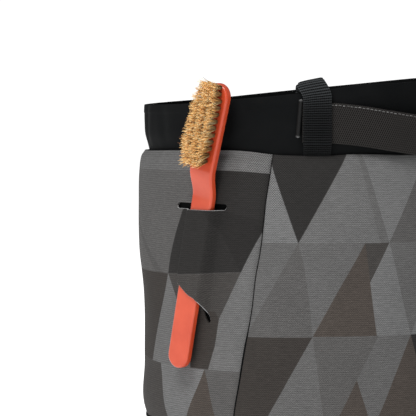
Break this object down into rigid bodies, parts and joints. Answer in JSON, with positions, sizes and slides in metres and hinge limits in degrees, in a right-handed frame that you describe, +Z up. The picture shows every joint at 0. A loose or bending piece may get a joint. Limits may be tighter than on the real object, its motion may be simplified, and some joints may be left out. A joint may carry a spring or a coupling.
{
  "type": "climbing chalk bag",
  "caption": "Round stand-up climbing chalk bag with a printed wall, a black collar, a carry strap and a brush in a sleeve.",
  "frame": {"origin": "middle of the flat base, on the surface that the bag stands on", "axes": "+Z up along the bag's axis, -Y the front with the near webbing loop, +X the side that the carry strap goes round"},
  "size_m": [0.2572, 0.2533, 0.244],
  "materials": {
    "printed_cloth": "woven polyester printed with large grey triangles",
    "black_nylon": "plain black nylon cloth",
    "black_webbing": "black ribbed webbing",
    "taupe_webbing": "dark taupe woven strap",
    "orange_plastic": "orange-red moulded plastic with a soft gloss",
    "boar_bristle": "honey brown natural bristles"
  },
  "bodies": {
    "bag": {"base_panel": "black_nylon", "inner_wall": "black_nylon", "outer_wall": "printed_cloth", "brush_panel": "printed_cloth", "collar": "black_nylon", "webbing_loop_near": "black_webbing", "webbing_loop_far": "black_webbing", "carry_strap": "taupe_webbing", "strap_end_near": "black_webbing", "strap_end_far": "black_webbing"},
    "brush": {"brush_handle": "orange_plastic", "brush_bristles": "boar_bristle"}
  },
  "joints": [
    {"name": "brush_slide", "type": "slide", "parent": "bag", "child": "brush", "axis": [0.1549, -0.1255, 0.9799], "range_m": [0, 0.115]}
  ]
}
